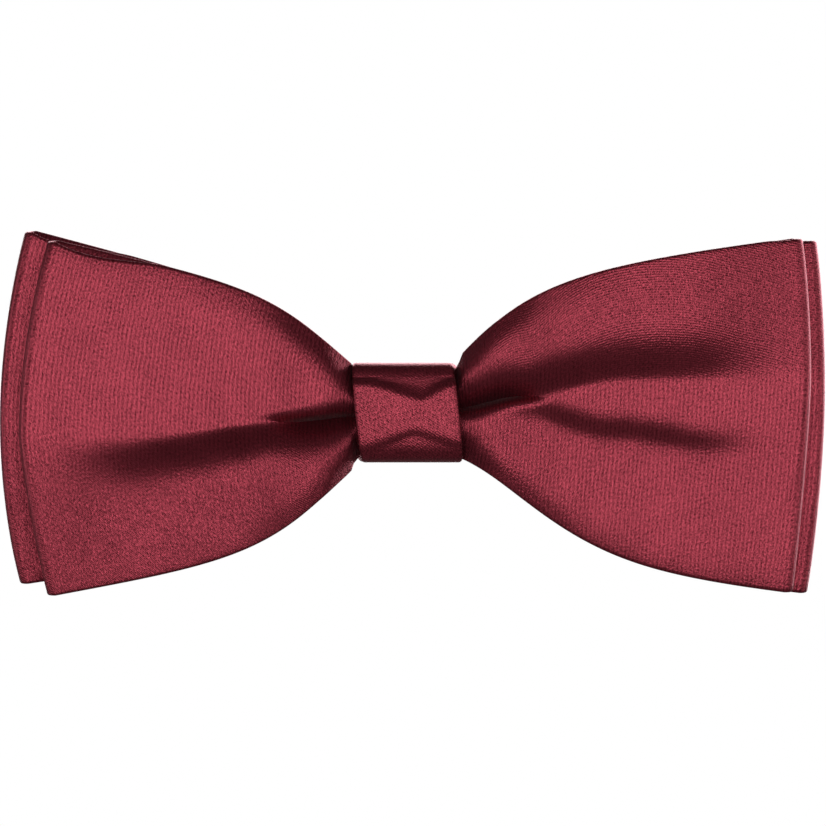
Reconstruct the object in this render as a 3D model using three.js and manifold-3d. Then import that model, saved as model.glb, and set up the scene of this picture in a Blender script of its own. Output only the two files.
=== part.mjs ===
// A pre-tied satin bow tie on a sprung collar clip: two satin loops pinched at the waist, a satin band
// round the waist as the knot, and behind it a sheet-metal bar with two sprung jaws.
// Millimetres. +X is to the right as the bow is looked at, +Z is up, and the front faces -Y.
// The origin is on the rear face of the clip bar, where the collar lies, level with the knot's middle.

import * as THREE from "three";
import { mergeVertices } from "three/addons/utils/BufferGeometryUtils.js";
import Module from "manifold-3d";

const wasm = await Module();
wasm.setup();

// ---------------------------------------------------------------- driving dimensions

const FACE_GAP = 0.3; // clear space left between pieces that touch
const SATIN_PLY = 0.3; // one ply of the satin sleeve
const INTERLINING = 0.5; // the stiffening strip inside a sleeve
const SLEEVE = INTERLINING + 2 * FACE_GAP + 2 * SATIN_PLY; // a whole sleeve, face to face
const EDGE_SHARE = 0.65; // a sleeve's thickness at its folded edges, as a share of SLEEVE

const WAIST_REACH = 8.6; // half the length that the knot hides
const WAIST_HEIGHT = 3.5; // half height of the pinched cloth at its narrowest
const MOUTH_HEIGHT = 5.4; // half height of the cloth where it leaves the knot
const STRIP_END_GAP = 1.2; // gap between a strip's two ends, at the middle of its back span

// Each loop is one strip of cloth. An end fold's x is corner + bulge (1 - t^2) + lean t, where t runs
// from -1 at the bottom edge to 1 at the top. An edge rises from the knot's mouth by
// slope d + rise (1 - exp(-(d / reach)^power)), where d is the distance from the mouth.
const FRONT_BOW = {
  left: {
    end: { corner: 51.8, bulge: 4.1, lean: 0 },
    top: { slope: 0.235, rise: 9.6, reach: 6.9, power: 1 },
    bottom: { slope: 0.19, rise: 12.9, reach: 7.4, power: 1 },
    valley: { near: -1, far: -6.4, from: 8, to: 40 },
  },
  right: {
    end: { corner: 56.4, bulge: 1.9, lean: 0.7 },
    top: { slope: 0.14, rise: 13.2, reach: 7.6, power: 1 },
    bottom: { slope: 0.13, rise: 14.6, reach: 14.2, power: 1.5 },
    valley: { near: 1, far: 7.4, from: 8, to: 32 },
  },
  backSpan: { waist: -6.8, wing: -7.8, end: -7.8 },
  frontSpan: { waist: -8.85, wing: -12.2, end: -11.6 },
  pleat: 2.2,
};
const REAR_BOW = {
  left: {
    end: { corner: 55.9, bulge: 3.2, lean: -0.35 },
    top: { slope: 0.235, rise: 9.4, reach: 7.4, power: 1 },
    bottom: { slope: 0.17, rise: 11.6, reach: 8, power: 1 },
    valley: { near: -1, far: -3, from: 8, to: 40 },
  },
  right: {
    end: { corner: 59, bulge: 1.8, lean: 0.7 },
    top: { slope: 0.13, rise: 12.8, reach: 8.4, power: 1 },
    bottom: { slope: 0.13, rise: 13.9, reach: 14.8, power: 1.5 },
    valley: { near: 1, far: 3, from: 8, to: 32 },
  },
  backSpan: { waist: -2.7, wing: -2.7, end: -2.7 },
  frontSpan: { waist: -4.75, wing: -5.5, end: -5.5 },
  pleat: 0.15,
};
const PUFF_LENGTH = 6; // how far past the mouth a span takes to reach its full depth
const FLATTEN_FROM = 20; // a wing's pleats start to open out here
const FLATTEN_TO = 52;
const FLATTEN_SHARE = 0.7; // how much of the pleats' depth is gone at FLATTEN_TO

const KNOT = {
  halfWidth: 7.4,
  halfHeight: 5.95, // of the band's middle surface
  flare: 0.2, // extra half height at the band's side edges
  frontY: -11.65,
  backY: 1.15,
  squareness: 5, // exponent of the superellipse that the band follows
  lean: 0.1, // sideways lean of the knot, per millimetre of height
};

const THREAD_RADIUS = 0.25;
const WAIST_THREAD = { halfHeight: 4.6, frontY: -10.2, backY: -1.3, squareness: 6, turns: 3, pitch: 0.8 };

const BAR = {
  thickness: 0.7, // its rear face is the plane y = 0
  halfLength: 31,
  waistHalf: 3.4, // half height where the knot wraps it
  shoulderHalf: 4.8, // half height where the ears stand
  gripHalf: 3.6, // half height of the gripping ends
};
const TACK = { x: 8.9, z: 2.2, holeRadius: 0.6 };
const PIN = { x: 16, y: 3, radius: 0.7, headRadius: 1.2, headThickness: 0.4 };
const RUNNING_CLEARANCE = 0.08; // radial, between a pin and the ears it passes through
const EAR = { halfLength: 2.7, thickness: 0.7 };
const JAW = {
  sheet: 0.5,
  halfWidth: 3.5,
  earThickness: 0.6,
  earHalfLength: 2.1,
  teeth: 4,
  toothDepth: 1.1,
};
// The jaw's bent sheet seen from above, from the finger tab to the toothed tip, measured from its pin.
const JAW_BENDS = [
  [-7.2, 5],
  [-3, 2.2],
  [3, 2.2],
  [13.4, -1.3],
  [14.5, -2.6],
];
const SPRING = { coilRadius: 1.25, wireRadius: 0.25, wholeTurns: 3, pitch: 0.7 };

// ---------------------------------------------------------------- materials

const SATIN = { color: 0x7c2a35, roughness: 0.45, metalness: 0 };
const CANVAS = { color: 0xd9d2c3, roughness: 0.95, metalness: 0 };
const THREAD = { color: 0x5a1c25, roughness: 0.8, metalness: 0 };
const NICKEL = { color: 0xc4c2bd, roughness: 0.28, metalness: 1 };
const SPRING_STEEL = { color: 0x8d8f92, roughness: 0.35, metalness: 1 };

function piece(name, geometry, finish) {
  const mesh = new THREE.Mesh(geometry, new THREE.MeshStandardMaterial(finish));
  mesh.name = name;
  return mesh;
}

// ---------------------------------------------------------------- solids

function toSolid(geometry) {
  const bare = geometry.clone();
  bare.deleteAttribute("normal");
  bare.deleteAttribute("uv");
  const merged = mergeVertices(bare, 1e-4);
  return new wasm.Manifold(
    new wasm.Mesh({
      numProp: 3,
      vertProperties: merged.attributes.position.array,
      triVerts: new Uint32Array(merged.index.array),
    }),
  );
}

function toGeometry(solid) {
  const mesh = solid.getMesh();
  const geometry = new THREE.BufferGeometry();
  geometry.setAttribute("position", new THREE.BufferAttribute(mesh.vertProperties, 3));
  geometry.setIndex(new THREE.BufferAttribute(mesh.triVerts, 1));
  geometry.computeVertexNormals();
  return geometry;
}

function join(geometries) {
  return toGeometry(geometries.map(toSolid).reduce((whole, next) => whole.add(next)));
}

function cut(geometry, cutters) {
  return toGeometry(cutters.map(toSolid).reduce((whole, next) => whole.subtract(next), toSolid(geometry)));
}

// Joins two rows of points, each a closed ring or an open line, by two triangles per step.
// Turning the triangles round leaves each step's diagonal where it was.
function bridge(triangles, rowA, rowB, closed, turned = false) {
  const add = (a, b, c) => triangles.push(turned ? [a, c, b] : [a, b, c]);
  const steps = closed ? rowA.length : rowA.length - 1;
  for (let k = 0; k < steps; k++) {
    const next = (k + 1) % rowA.length;
    add(rowA[k], rowB[next], rowB[k]);
    add(rowA[k], rowA[next], rowB[next]);
  }
}

function fromTriangles(triangles) {
  const corners = triangles.flat().flatMap((point) => [point.x, point.y, point.z]);
  const geometry = new THREE.BufferGeometry();
  geometry.setAttribute("position", new THREE.Float32BufferAttribute(corners, 3));
  geometry.computeVertexNormals();
  return geometry;
}

// A round wire along points, with flat ends.
function wire(points, radius, steps, sides = 6) {
  const section = new THREE.Shape();
  for (let k = 0; k < sides; k++) {
    const angle = (k / sides) * 2 * Math.PI;
    const corner = [radius * Math.cos(angle), radius * Math.sin(angle)];
    if (k === 0) section.moveTo(...corner);
    else section.lineTo(...corner);
  }
  section.closePath();
  const path = new THREE.CatmullRomCurve3(points, false, "centripetal");
  return new THREE.ExtrudeGeometry(section, { steps, extrudePath: path, bevelEnabled: false });
}

// A plate drawn in x and z and given its thickness along y, its rear face at y = 0.
function plate(shape, thickness, curveSegments = 8) {
  const geometry = new THREE.ExtrudeGeometry(shape, { depth: thickness, bevelEnabled: false, curveSegments });
  return geometry.rotateX(Math.PI / 2);
}

// ---------------------------------------------------------------- cloth strips

// A strip is a list of stations along its length, each a function that gives the middle surface's
// point for t from -1 to 1 across it, with halfWidth(station) for its half width there.
// Its ring at a station is the outline of its section: up one face, and back down the other.
function stripRings(stations, across, halfThickness, inset) {
  const rows = stations.map((station) => {
    const reach = 1 - inset / station.halfWidth;
    return Array.from({ length: across + 1 }, (_, k) => {
      const t = THREE.MathUtils.clamp(-1 + (2 * k) / across, -reach, reach);
      return station.at(t);
    });
  });
  return rows.map((row, i) => {
    const before = rows[Math.max(i - 1, 0)];
    const after = rows[Math.min(i + 1, rows.length - 1)];
    const faces = row.map((point, k) => {
      const along = new THREE.Vector3().subVectors(after[k], before[k]);
      const over = new THREE.Vector3().subVectors(row[Math.min(k + 1, across)], row[Math.max(k - 1, 0)]);
      const normal = along.cross(over).normalize();
      const atEdge = k === 0 || k === across;
      const offset = normal.multiplyScalar(halfThickness * (atEdge ? EDGE_SHARE : 1));
      return [point.clone().add(offset), point.clone().sub(offset)];
    });
    const up = faces.map((pair) => pair[0]);
    const down = faces.map((pair) => pair[1]).reverse();
    return [...up, ...down];
  });
}

// A satin sleeve: a flattened tube of one ply, open at the strip's two ends.
function sleeve(stations, across) {
  const outside = stripRings(stations, across, SLEEVE / 2, 0);
  const inside = stripRings(stations, across, SLEEVE / 2 - SATIN_PLY, SATIN_PLY);
  const triangles = [];
  for (let i = 0; i + 1 < stations.length; i++) {
    bridge(triangles, outside[i + 1], outside[i], true);
    bridge(triangles, inside[i + 1], inside[i], true, true);
  }
  bridge(triangles, outside[0], inside[0], true);
  bridge(triangles, inside.at(-1), outside.at(-1), true);
  return fromTriangles(triangles);
}

// The stiffening strip that lies inside a sleeve, a face gap clear of it all round.
function interlining(stations, across) {
  const rings = stripRings(stations, across, INTERLINING / 2, SATIN_PLY + FACE_GAP);
  const triangles = [];
  for (let i = 0; i + 1 < stations.length; i++) bridge(triangles, rings[i + 1], rings[i], true);
  const faceUp = (ring) => ring.slice(0, across + 1);
  const faceDown = (ring) => ring.slice(across + 1).reverse();
  bridge(triangles, faceUp(rings[0]), faceDown(rings[0]), false);
  bridge(triangles, faceDown(rings.at(-1)), faceUp(rings.at(-1)), false);
  return fromTriangles(triangles);
}

// ---------------------------------------------------------------- bows

const BOW_ACROSS = 8;
const WAIST_STEPS = 1;
const WING_STEPS = 5;
const FOLD_STEPS = 3;
const STATION_CROWDING = 1.25; // above 1, a wing's stations crowd towards the knot

function edgeHeight(edge, x) {
  if (x <= WAIST_REACH) return WAIST_HEIGHT + (MOUTH_HEIGHT - WAIST_HEIGHT) * (x / WAIST_REACH) ** 2;
  const d = x - WAIST_REACH;
  return MOUTH_HEIGHT + edge.slope * d + edge.rise * (1 - Math.exp(-((d / edge.reach) ** edge.power)));
}

function spanDepth(span, x) {
  const d = Math.max(x - WAIST_REACH, 0);
  const puffed = THREE.MathUtils.lerp(span.waist, span.wing, 1 - Math.exp(-d / PUFF_LENGTH));
  return THREE.MathUtils.lerp(puffed, span.end, THREE.MathUtils.smoothstep(x, FLATTEN_FROM, FLATTEN_TO));
}

function pleatDepth(bow, x) {
  const d = Math.max(x - WAIST_REACH, 0);
  const opened = 1 - FLATTEN_SHARE * THREE.MathUtils.smoothstep(x, FLATTEN_FROM, FLATTEN_TO);
  return bow.pleat * (1 - Math.exp(-d / PUFF_LENGTH)) * opened;
}

function foldRadius(bow) {
  return (bow.backSpan.end - bow.frontSpan.end) / 2;
}

// The height across a wing: z runs from the bottom edge through the valley line to the top edge.
function wingHeight(wing, xTop, xBottom, xValley, t) {
  const top = edgeHeight(wing.top, xTop);
  const bottom = -edgeHeight(wing.bottom, xBottom);
  const { near, far, from, to } = wing.valley;
  const reached = THREE.MathUtils.smoothstep(xValley, from, to);
  const valley = THREE.MathUtils.lerp(near, far, reached) * Math.min(xValley / WAIST_REACH, 1);
  return valley + ((top - bottom) / 2) * t + ((top + bottom) / 2 - valley) * t * t;
}

// A station of one span, share 0 at the middle of the knot, 1 at the mouth and 2 at the start of the fold.
function spanStation(bow, sideName, spanName, share, startX) {
  const wing = bow[sideName];
  const side = sideName === "left" ? -1 : 1;
  const xAt = (t) => {
    const reach = wing.end.corner + wing.end.bulge * (1 - t * t) + wing.end.lean * t - foldRadius(bow);
    if (share <= 1) return Math.max(share * WAIST_REACH, startX);
    return WAIST_REACH + (reach - WAIST_REACH) * (share - 1) ** STATION_CROWDING;
  };
  const wave = spanName === "frontSpan" ? 1 : 0;
  return {
    halfWidth: edgeHeight(wing.top, xAt(1)),
    at: (t) => {
      const x = xAt(t);
      const z = wingHeight(wing, xAt(1), xAt(-1), xAt(0), t);
      const y = spanDepth(bow[spanName], x) + wave * pleatDepth(bow, x) * Math.cos(2 * Math.PI * t);
      return new THREE.Vector3(side * x, y, z);
    },
  };
}

// A station on an end fold, turned by angle from the back span round towards the front span.
function foldStation(bow, sideName, angle) {
  const backEnd = spanStation(bow, sideName, "backSpan", 2, 0);
  const frontEnd = spanStation(bow, sideName, "frontSpan", 2, 0);
  const side = sideName === "left" ? -1 : 1;
  return {
    halfWidth: backEnd.halfWidth,
    at: (t) => {
      const back = backEnd.at(t);
      const front = frontEnd.at(t);
      const radius = (back.y - front.y) / 2;
      const x = back.x + side * radius * Math.sin(angle);
      const y = (back.y + front.y) / 2 + radius * Math.cos(angle);
      return new THREE.Vector3(x, y, back.z);
    },
  };
}

function halfSpan(bow, sideName, spanName, startX) {
  const stations = [];
  for (let i = 0; i <= WAIST_STEPS; i++) {
    stations.push(spanStation(bow, sideName, spanName, i / WAIST_STEPS, startX));
  }
  for (let i = 1; i <= WING_STEPS; i++) {
    stations.push(spanStation(bow, sideName, spanName, 1 + i / WING_STEPS, startX));
  }
  return stations;
}

function fold(bow, sideName) {
  const angles = Array.from({ length: FOLD_STEPS - 1 }, (_, i) => ((i + 1) / FOLD_STEPS) * Math.PI);
  return angles.map((angle) => foldStation(bow, sideName, angle));
}

// The whole loop, from one end of its strip to the other.
function bowStations(bow) {
  return [
    ...halfSpan(bow, "left", "backSpan", STRIP_END_GAP / 2),
    ...fold(bow, "left"),
    ...halfSpan(bow, "left", "frontSpan", 0).reverse(),
    ...halfSpan(bow, "right", "frontSpan", 0).slice(1),
    ...fold(bow, "right").reverse(),
    ...halfSpan(bow, "right", "backSpan", STRIP_END_GAP / 2).reverse(),
  ];
}

function bow(name, dimensions) {
  const stations = bowStations(dimensions);
  return [
    piece(name + "_bow_satin", sleeve(stations, BOW_ACROSS), SATIN),
    piece(name + "_bow_interlining", interlining(stations, BOW_ACROSS), CANVAS),
  ];
}

// ---------------------------------------------------------------- knot

const KNOT_ACROSS = 4;
const KNOT_STEPS = 16;

// A point at an angle round a superellipse in y and z, from the back over the top to the front.
function ovalPoint(oval, angle, halfHeight) {
  const middle = (oval.frontY + oval.backY) / 2;
  const halfDepth = (oval.backY - oval.frontY) / 2;
  const swell = (value) => Math.sign(value) * Math.abs(value) ** (2 / oval.squareness);
  return {
    y: middle + halfDepth * swell(Math.cos(angle)),
    z: halfHeight * swell(Math.sin(angle)),
  };
}

function knotStations() {
  const start = Math.asin((STRIP_END_GAP / 2 / KNOT.halfHeight) ** (KNOT.squareness / 2));
  return Array.from({ length: KNOT_STEPS + 1 }, (_, i) => {
    const angle = start + (i / KNOT_STEPS) * 2 * (Math.PI - start);
    return {
      halfWidth: KNOT.halfWidth,
      at: (t) => {
        const { y, z } = ovalPoint(KNOT, angle, KNOT.halfHeight + KNOT.flare * t * t);
        return new THREE.Vector3(KNOT.halfWidth * t - KNOT.lean * z, y, z);
      },
    };
  });
}

function knot() {
  const stations = knotStations();
  return [
    piece("knot_satin", sleeve(stations, KNOT_ACROSS), SATIN),
    piece("knot_interlining", interlining(stations, KNOT_ACROSS), CANVAS),
  ];
}

// ---------------------------------------------------------------- thread

// The gathering thread, wound round the pinched waist under the knot.
function waistThread() {
  const { halfHeight, turns, pitch } = WAIST_THREAD;
  const perTurn = 16;
  const points = Array.from({ length: turns * perTurn + 1 }, (_, i) => {
    const turn = i / perTurn;
    const { y, z } = ovalPoint(WAIST_THREAD, turn * 2 * Math.PI + Math.PI / 4, halfHeight);
    return new THREE.Vector3(pitch * (turn - turns / 2), y, z);
  });
  return piece("waist_thread", wire(points, THREAD_RADIUS, points.length - 1, 5), THREAD);
}

// Ladder stitches that zigzag across the gap between a strip's two ends.
function ladderStitches(name, start, step, sway, count) {
  const points = Array.from({ length: count + 1 }, (_, i) => {
    const swing = i % 2 === 0 ? 1 : -1;
    return start.clone().addScaledVector(step, i).addScaledVector(sway, swing);
  });
  return piece(name, wire(points, THREAD_RADIUS / 2, count * 2, 4), THREAD);
}

function endStitches() {
  const count = 8;
  const sway = STRIP_END_GAP / 2 - FACE_GAP - THREAD_RADIUS / 2;
  const stitchHeight = (2 * (WAIST_HEIGHT - 2 * FACE_GAP)) / count;
  const bowStitches = (name, depth) =>
    ladderStitches(
      name,
      new THREE.Vector3(0, depth, -WAIST_HEIGHT + 2 * FACE_GAP),
      new THREE.Vector3(0, 0, stitchHeight),
      new THREE.Vector3(sway, 0, 0),
      count,
    );
  const knotReach = KNOT.halfWidth - 2 * FACE_GAP;
  return [
    bowStitches("front_bow_end_stitches", FRONT_BOW.backSpan.waist),
    bowStitches("rear_bow_end_stitches", REAR_BOW.backSpan.waist),
    ladderStitches(
      "knot_end_stitches",
      new THREE.Vector3(-knotReach, KNOT.backY, 0),
      new THREE.Vector3((2 * knotReach) / (1.5 * count), 0, 0),
      new THREE.Vector3(0, 0, sway),
      1.5 * count,
    ),
  ];
}

// A thread staple that goes through two holes of the bar into the cloth in front of it.
function tackStitch(name, side) {
  const legEnd = REAR_BOW.backSpan.waist + SLEEVE / 2 + FACE_GAP;
  const runY = FACE_GAP + THREAD_RADIUS;
  const x = side * TACK.x;
  const points = [
    [legEnd, TACK.z],
    [-BAR.thickness / 2, TACK.z],
    [runY * 0.7, TACK.z - 0.15],
    [runY, TACK.z - 0.6],
    [runY, 0.6 - TACK.z],
    [runY * 0.7, 0.15 - TACK.z],
    [-BAR.thickness / 2, -TACK.z],
    [legEnd, -TACK.z],
  ].map(([y, z]) => new THREE.Vector3(x, y, z));
  return piece(name, wire(points, THREAD_RADIUS, 14), THREAD);
}

// ---------------------------------------------------------------- clip

function block(x0, x1, y0, y1, z0, z1) {
  const box = new THREE.BoxGeometry(x1 - x0, y1 - y0, z1 - z0);
  return box.translate((x0 + x1) / 2, (y0 + y1) / 2, (z0 + z1) / 2);
}

function barOutline() {
  const shoulderFrom = PIN.x - EAR.halfLength - 0.8;
  const shoulderTo = PIN.x + EAR.halfLength + 0.8;
  const roundStart = BAR.halfLength - BAR.gripHalf * 0.6;
  const quarter = [
    [BAR.halfLength, BAR.gripHalf * 0.4],
    [roundStart, BAR.gripHalf],
    [shoulderTo + 1, BAR.gripHalf],
    [shoulderTo, BAR.shoulderHalf],
    [shoulderFrom, BAR.shoulderHalf],
    [shoulderFrom - 1.4, BAR.waistHalf],
  ];
  const mirroredX = quarter.map(([x, z]) => [-x, z]).reverse();
  const upper = [...quarter, ...mirroredX];
  const lower = upper.map(([x, z]) => [x, -z]).reverse();
  return new THREE.Shape([...upper, ...lower].map(([x, z]) => new THREE.Vector2(x, z)));
}

function roundHole(radius, x, y) {
  return new THREE.Path().absarc(x, y, radius, 0, 2 * Math.PI, true);
}

// An ear seen along the pin: straight sides, a round head and the pin's hole.
function earShape(halfLength, footY) {
  const shape = new THREE.Shape();
  shape.moveTo(-halfLength, footY);
  shape.lineTo(halfLength, footY);
  shape.lineTo(halfLength * 0.8, 0);
  shape.absarc(0, 0, halfLength * 0.8, 0, Math.PI, false);
  shape.closePath();
  shape.holes.push(roundHole(PIN.radius + RUNNING_CLEARANCE, 0, 0));
  return shape;
}

function slab(shape, z, thickness) {
  const geometry = new THREE.ExtrudeGeometry(shape, { depth: thickness, bevelEnabled: false, curveSegments: 6 });
  return geometry.translate(0, 0, z);
}

function clipBar() {
  const outline = barOutline();
  for (const x of [-TACK.x, TACK.x]) {
    for (const z of [-TACK.z, TACK.z]) outline.holes.push(roundHole(TACK.holeRadius, x, z));
  }
  const ears = [];
  for (const side of [-1, 1]) {
    for (const z of [BAR.shoulderHalf - EAR.thickness, -BAR.shoulderHalf]) {
      const ear = slab(earShape(EAR.halfLength, -PIN.y - BAR.thickness / 2), z, EAR.thickness);
      ears.push(ear.translate(side * PIN.x, PIN.y, 0));
    }
  }
  return piece("clip_bar", join([plate(outline, BAR.thickness), ...ears]), NICKEL);
}

// A bent sheet's outline: its bends offset to both sides by half the sheet's thickness, mitred.
function bentSheet(bends, thickness) {
  const points = bends.map(([x, y]) => new THREE.Vector2(x, y));
  const legs = points.slice(1).map((point, i) => point.clone().sub(points[i]).normalize());
  const offsets = points.map((_, i) => {
    const into = legs[Math.max(i - 1, 0)];
    const out = legs[Math.min(i, legs.length - 1)];
    const along = into.clone().add(out).normalize();
    const reach = thickness / 2 / along.dot(out);
    return new THREE.Vector2(-along.y, along.x).multiplyScalar(reach);
  });
  const lower = points.map((point, i) => point.clone().sub(offsets[i]));
  const upper = points.map((point, i) => point.clone().add(offsets[i]));
  return new THREE.Shape([...lower, ...upper.reverse()]);
}

function jaw(name) {
  const sheet = slab(bentSheet(JAW_BENDS, JAW.sheet), -JAW.halfWidth, 2 * JAW.halfWidth);
  const ears = [JAW.halfWidth - JAW.earThickness, -JAW.halfWidth].map((z) => {
    const ear = slab(earShape(JAW.earHalfLength, -JAW_BENDS[1][1]), 0, JAW.earThickness);
    return ear.rotateZ(Math.PI).translate(0, 0, z);
  });
  const [tipX, tipY] = JAW_BENDS.at(-1);
  const toothPitch = (2 * JAW.halfWidth) / (2 * JAW.teeth - 1);
  const notches = Array.from({ length: JAW.teeth - 1 }, (_, i) => {
    const z = -JAW.halfWidth + (2 * i + 1) * toothPitch;
    return block(tipX - 2, tipX + 1, tipY - 1, tipY + JAW.toothDepth, z, z + toothPitch);
  });
  const mesh = piece(name, cut(join([sheet, ...ears]), notches), NICKEL);
  mesh.position.set(PIN.x, PIN.y, 0);
  return mesh;
}

function pin(name) {
  const shankHalf = BAR.shoulderHalf + FACE_GAP;
  const endHalf = shankHalf + PIN.headThickness;
  const profile = [
    [0, -endHalf],
    [PIN.headRadius, -endHalf],
    [PIN.headRadius, -shankHalf],
    [PIN.radius, -shankHalf],
    [PIN.radius, shankHalf],
    [PIN.headRadius, shankHalf],
    [PIN.headRadius, endHalf],
    [0, endHalf],
  ].map(([r, z]) => new THREE.Vector2(r, z));
  const mesh = piece(name, new THREE.LatheGeometry(profile, 16), NICKEL);
  mesh.rotation.x = Math.PI / 2;
  mesh.position.set(PIN.x, PIN.y, 0);
  return mesh;
}

// A torsion spring round the pin. One leg presses on the bar and the other lifts the finger tab.
function spring(name) {
  const { coilRadius, wireRadius, wholeTurns, pitch } = SPRING;
  const turns = wholeTurns + 0.5;
  const perTurn = 10;
  const steps = turns * perTurn;
  const top = (turns * pitch) / 2;
  const coil = Array.from({ length: steps + 1 }, (_, i) => {
    const angle = -Math.PI / 2 + (i / perTurn) * 2 * Math.PI;
    const z = -top + (i / perTurn) * pitch;
    return new THREE.Vector3(coilRadius * Math.cos(angle), coilRadius * Math.sin(angle), z);
  });
  const barLeg = [new THREE.Vector3(-6, -2.35, -top), new THREE.Vector3(-3, -1.85, -top)];
  const tabLeg = [new THREE.Vector3(-3.2, 1.35, top), new THREE.Vector3(-5.9, 3.2, top)];
  const mesh = piece(name, wire([...barLeg, ...coil, ...tabLeg], wireRadius, steps + 10), SPRING_STEEL);
  mesh.position.set(PIN.x, PIN.y, 0);
  return mesh;
}

// One side's jaw, pin and spring. The left side is the right side mirrored.
function clipSide(side) {
  const group = new THREE.Group();
  group.add(jaw(side + "_jaw"), pin(side + "_pin"), spring(side + "_spring"));
  if (side === "left") group.scale.x = -1;
  return group;
}

// ---------------------------------------------------------------- the bow tie

const bowTie = new THREE.Group();
bowTie.add(...bow("front", FRONT_BOW), ...bow("rear", REAR_BOW), ...knot());
bowTie.add(waistThread(), ...endStitches());
bowTie.add(tackStitch("left_tack_stitch", -1), tackStitch("right_tack_stitch", 1));
bowTie.add(clipBar(), clipSide("left"), clipSide("right"));

export default bowTie;
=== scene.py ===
# %% [markdown]
# # A satin bow tie on a collar clip
#
# A pre-tied bow tie is three strips of satin. Two are sewn into loops and laid one on the other, and the
# third is wrapped round their middle as the knot. A sheet-metal bar with two sprung jaws hides behind
# the knot and grips the collar. This lesson dresses a finished frame: the metal comes from the frame,
# and the cloth is worked out here as surfaces, because cloth is what the frame only blocks out.

# %% Load the frame
import bpy
import numpy as np
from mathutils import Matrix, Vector


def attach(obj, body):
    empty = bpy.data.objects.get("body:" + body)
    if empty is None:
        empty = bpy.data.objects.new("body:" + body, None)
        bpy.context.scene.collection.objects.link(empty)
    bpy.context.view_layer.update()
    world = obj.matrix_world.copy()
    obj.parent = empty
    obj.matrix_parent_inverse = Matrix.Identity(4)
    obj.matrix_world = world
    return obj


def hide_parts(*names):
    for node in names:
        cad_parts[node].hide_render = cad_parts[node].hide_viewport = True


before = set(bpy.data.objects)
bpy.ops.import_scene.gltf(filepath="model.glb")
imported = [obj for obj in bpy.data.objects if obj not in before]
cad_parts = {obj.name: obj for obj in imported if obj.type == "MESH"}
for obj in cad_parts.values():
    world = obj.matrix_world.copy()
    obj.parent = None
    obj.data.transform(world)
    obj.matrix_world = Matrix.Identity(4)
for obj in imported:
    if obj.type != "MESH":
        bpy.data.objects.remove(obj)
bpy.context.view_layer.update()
MM = 0.001  # every formula below is in millimetres, and every mesh is in metres

# %% [markdown]
# ## Where the eye stands
#
# The bow is looked at straight on through a long lens, as in a catalogue, so its two ends keep their
# true proportions. The camera looks along +Y, level with the knot and a little to its right.

# %% Camera
LENS = 200.0
SENSOR = 36.0
VIEW_WIDTH = 120.4  # how much of the bow's plane fills the view, in millimetres
VIEW_PLANE = -8.0  # the depth of that plane
VIEW_CENTRE = (0.95, -0.07)  # its middle, in x and z

camera_data = bpy.data.cameras.new("camera")
camera_data.lens = LENS
camera_data.sensor_width = SENSOR
camera_data.clip_start = 0.01
camera_data.clip_end = 20.0
camera = bpy.data.objects.new("camera", camera_data)
view_distance = VIEW_WIDTH * LENS / SENSOR
camera.location = Vector((VIEW_CENTRE[0], VIEW_PLANE - view_distance, VIEW_CENTRE[1])) * MM
camera.rotation_euler = (np.pi / 2, 0.0, 0.0)
bpy.context.scene.collection.objects.link(camera)
bpy.context.scene.camera = camera
print("the camera stands", round(view_distance), "mm in front of the bow")

# %% [markdown]
# ## Soft studio light
#
# Satin shows its folds by what it mirrors. A wide, low soft light behind the camera is mirrored by cloth
# that faces the viewer, and cloth that tilts up or down mirrors a dim room, so each fold gets its dark
# side. Two lights at the sides brighten the rolled ends, and one behind shows the back. The world is
# white to the eye and dim as a light, so the folds keep their depth.

# %% Lights and world
ROOM_LIGHT = 0.13  # the world's strength as a light, where 1 is the white that the eye sees


def soft_light(name, location, width, height, power, aim=(0.0, 0.0, 0.0)):
    """A rectangular area light at location, turned towards aim, in metres and watts."""
    data = bpy.data.lights.new(name, "AREA")
    data.shape = "RECTANGLE"
    data.size = width
    data.size_y = height
    data.energy = power
    light = bpy.data.objects.new(name, data)
    light.location = location
    light.rotation_euler = (Vector(aim) - Vector(location)).to_track_quat("-Z", "Y").to_euler()
    bpy.context.scene.collection.objects.link(light)


soft_light("front softbox", (0.0, -1.0, 0.03), 1.8, 0.42, 14.4)
soft_light("left softbox", (-1.0, -0.1, 0.0), 1.0, 0.5, 4.0)
soft_light("right softbox", (1.0, -0.1, 0.0), 1.0, 0.5, 4.0)
soft_light("back softbox", (0.3, 1.0, 0.25), 1.6, 0.8, 20.0)

bpy.context.scene.view_settings.view_transform = "Standard"
world = bpy.data.worlds.new("studio")
world.use_nodes = True
bpy.context.scene.world = world
sky = world.node_tree
background = sky.nodes["Background"]
background.inputs["Color"].default_value = (1.0, 1.0, 1.0, 1.0)
light_path = sky.nodes.new("ShaderNodeLightPath")
seen = sky.nodes.new("ShaderNodeMapRange")
seen.inputs["To Min"].default_value = ROOM_LIGHT
seen.inputs["To Max"].default_value = 1.0
sky.links.new(light_path.outputs["Is Camera Ray"], seen.inputs["Value"])
sky.links.new(seen.outputs["Result"], background.inputs["Strength"])
print("the room gives", ROOM_LIGHT, "of the white that is seen")

# %% [markdown]
# ## Writing shaders as sums
#
# A finish is arithmetic on a few patterns. Wrapping a node's output in a small class lets that arithmetic
# be written as Python: an expression such as 1 - gaps * 0.5 adds the Math nodes it needs. Colours are
# mixed by Mix nodes, and one method adds any other node with its settings and its sockets.


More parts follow.
